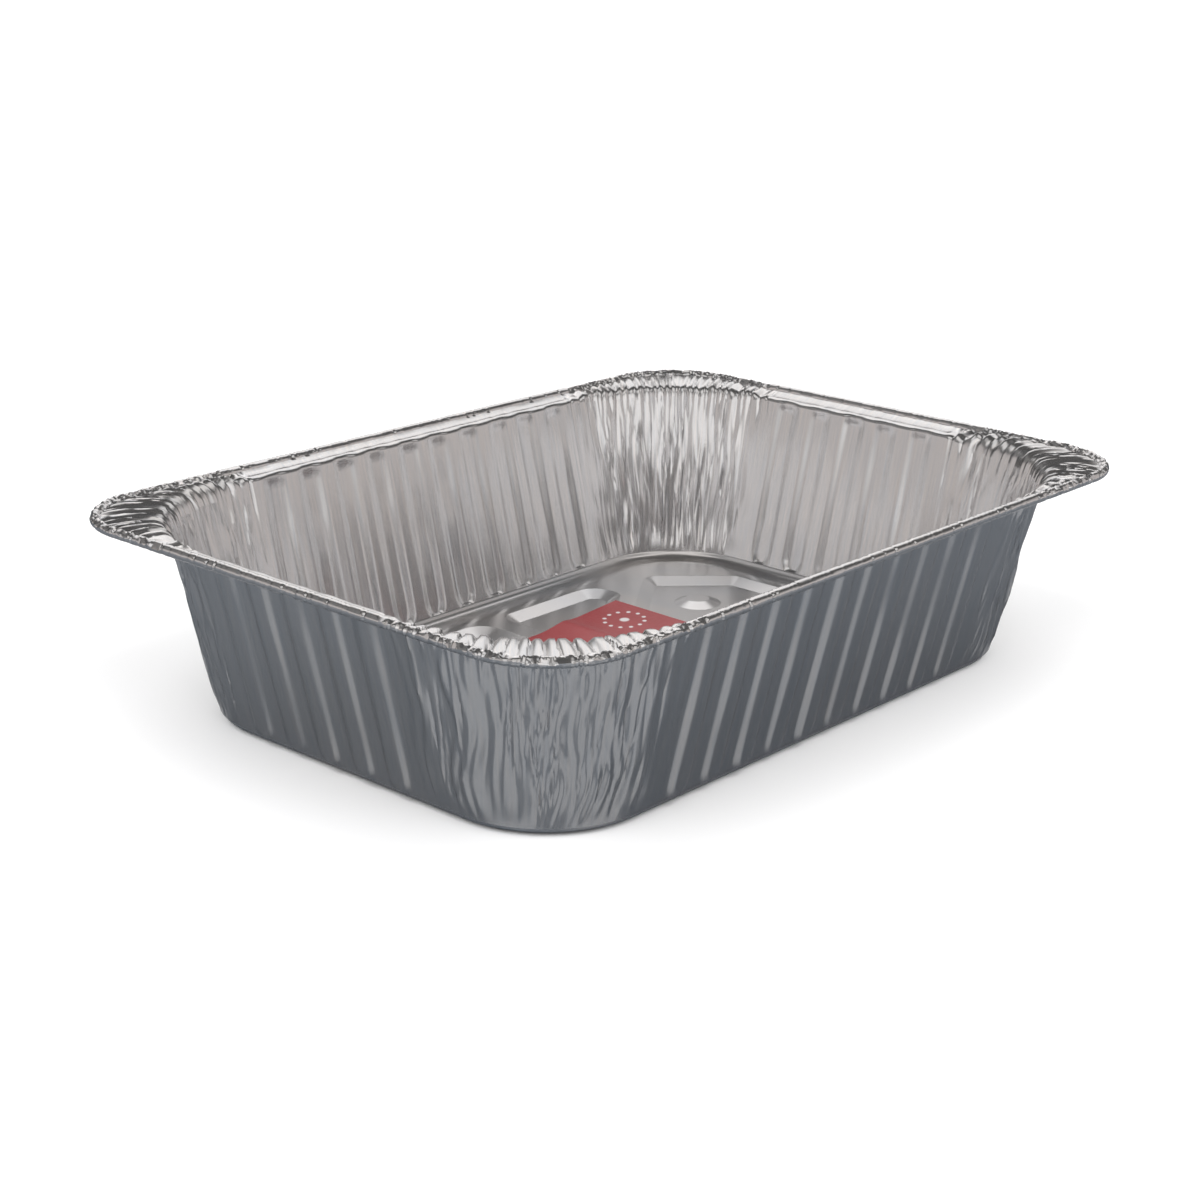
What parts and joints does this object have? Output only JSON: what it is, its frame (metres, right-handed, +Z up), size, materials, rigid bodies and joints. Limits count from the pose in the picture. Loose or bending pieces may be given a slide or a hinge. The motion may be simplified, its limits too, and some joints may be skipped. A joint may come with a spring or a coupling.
{
  "type": "foil roasting pan",
  "caption": "Deep rectangular foil roasting pan with fluted walls, pleated corners, a rolled rim and an embossed floor that carries a plain paper label.",
  "frame": {"origin": "middle of the rim's outline in plan, on the surface that the pan stands on", "axes": "+X along the long side, +Y along the short side, +Z up through the open mouth"},
  "size_m": [0.432, 0.31, 0.0984],
  "materials": {
    "foil": "bright rolled foil",
    "label_paper": "smooth coated red paper"
  },
  "bodies": {
    "root": {"foil_pan": "foil", "paper_label": "label_paper"}
  },
  "joints": []
}
